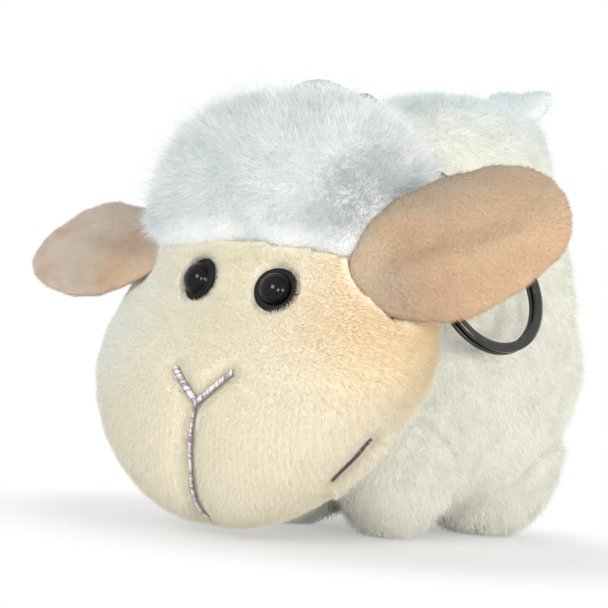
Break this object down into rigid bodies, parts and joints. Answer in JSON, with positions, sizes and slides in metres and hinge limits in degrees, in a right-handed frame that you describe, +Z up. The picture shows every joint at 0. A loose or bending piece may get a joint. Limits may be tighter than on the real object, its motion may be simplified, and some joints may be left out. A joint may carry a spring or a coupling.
{
  "type": "plush sheep key ring",
  "caption": "Small stuffed sheep with a white wool cap, cream face, tan ears and stub legs, with a cord loop, chain and split ring at its crown.",
  "frame": {"origin": "centre of the box that holds the whole sheep without its cord loop, at the floor that the feet rest on", "axes": "+Z up, +X to the sheep's left, and the sheep faces -Y"},
  "size_m": [0.1145, 0.111, 0.0969],
  "materials": {
    "body_plush": "short white pile",
    "wool_pile": "long white pile",
    "face_plush": "cream short pile",
    "ear_velour": "tan velour",
    "stuffing": "white polyester fibre",
    "eye_black": "gloss black",
    "washer_white": "white",
    "thread_mauve": "satin stitch",
    "cord_white": "braided cord",
    "nickel": "bright nickel plate"
  },
  "bodies": {
    "sheep": {"body_cover": "body_plush", "body_stuffing": "stuffing", "leg_front_left_cover": "body_plush", "leg_front_left_stuffing": "stuffing", "leg_front_right_cover": "body_plush", "leg_front_right_stuffing": "stuffing", "leg_rear_left_cover": "body_plush", "leg_rear_left_stuffing": "stuffing", "leg_rear_right_cover": "body_plush", "leg_rear_right_stuffing": "stuffing", "face_cover": "face_plush", "wool_cap": "wool_pile", "head_stuffing": "stuffing", "eye_left": "eye_black", "eye_right": "eye_black", "eye_washer_left": "washer_white", "eye_washer_right": "washer_white", "nose_embroidery": "thread_mauve", "mouth_stitch_left": "thread_mauve", "mouth_stitch_right": "thread_mauve", "cord_loop": "cord_white"},
    "ear_left": {"ear_left": "ear_velour"},
    "ear_right": {"ear_right": "ear_velour"},
    "tail": {"tail": "body_plush"},
    "chain_link_1": {"chain_link_1": "nickel"},
    "chain_link_2": {"chain_link_2": "nickel"},
    "chain_link_3": {"chain_link_3": "nickel"},
    "chain_link_4": {"chain_link_4": "nickel"},
    "chain_link_5": {"chain_link_5": "nickel"},
    "chain_link_6": {"chain_link_6": "nickel"},
    "chain_link_7": {"chain_link_7": "nickel"},
    "split_ring": {"split_ring": "nickel"}
  },
  "joints": [
    {"name": "ear_left_swing", "type": "hinge", "parent": "sheep", "child": "ear_left", "pos_m": [0.0293, -0.03963, 0.0487], "axis": [0.225, -0.9744, 0], "range_deg": [-16, 16], "stiffness_Nm_per_rad": 0.002},
    {"name": "ear_right_swing", "type": "hinge", "parent": "sheep", "child": "ear_right", "pos_m": [-0.0293, -0.03963, 0.0487], "axis": [0.1736, 0.9848, 0], "range_deg": [-16, 16], "stiffness_Nm_per_rad": 0.002},
    {"name": "tail_swing", "type": "hinge", "parent": "sheep", "child": "tail", "pos_m": [0, 0.04357, 0.086], "axis": [1, 0, 0], "range_deg": [-15, 15], "stiffness_Nm_per_rad": 0.002},
    {"name": "chain_link_1_swing", "type": "hinge", "parent": "sheep", "child": "chain_link_1", "pos_m": [0.0054, -0.01883, 0.0803], "axis": [0.4391, -0.8952, 0.0758], "range_deg": [0, 10]},
    {"name": "chain_link_2_swing", "type": "hinge", "parent": "chain_link_1", "child": "chain_link_2", "pos_m": [0.00789, -0.01777, 0.07832], "axis": [0.5022, -0.8537, -0.1379], "range_deg": [0, 10]},
    {"name": "chain_link_3_swing", "type": "hinge", "parent": "chain_link_2", "child": "chain_link_3", "pos_m": [0.01143, -0.01496, 0.07379], "axis": [0.3229, -0.9322, -0.1633], "range_deg": [0, 10]},
    {"name": "chain_link_4_swing", "type": "hinge", "parent": "chain_link_3", "child": "chain_link_4", "pos_m": [0.01395, -0.0136, 0.071], "axis": [0.1238, -0.9796, -0.1582], "range_deg": [0, 10]},
    {"name": "chain_link_5_swing", "type": "hinge", "parent": "chain_link_4", "child": "chain_link_5", "pos_m": [0.01865, -0.01234, 0.06684], "axis": [0.0302, -0.966, -0.2569], "range_deg": [0, 10]},
    {"name": "chain_link_6_swing", "type": "hinge", "parent": "chain_link_5", "child": "chain_link_6", "pos_m": [0.02159, -0.01155, 0.06425], "axis": [-0.0756, -0.942, -0.3269], "range_deg": [0, 10]},
    {"name": "chain_link_7_swing", "type": "hinge", "parent": "chain_link_6", "child": "chain_link_7", "pos_m": [0.02619, -0.01043, 0.05994], "axis": [-0.2439, -0.9398, -0.2391], "range_deg": [0, 10]},
    {"name": "split_ring_swing", "type": "hinge", "parent": "chain_link_7", "child": "split_ring", "pos_m": [0.02747, -0.01022, 0.05781], "axis": [-0.3417, -0.9398, 0], "range_deg": [0, 40]}
  ]
}
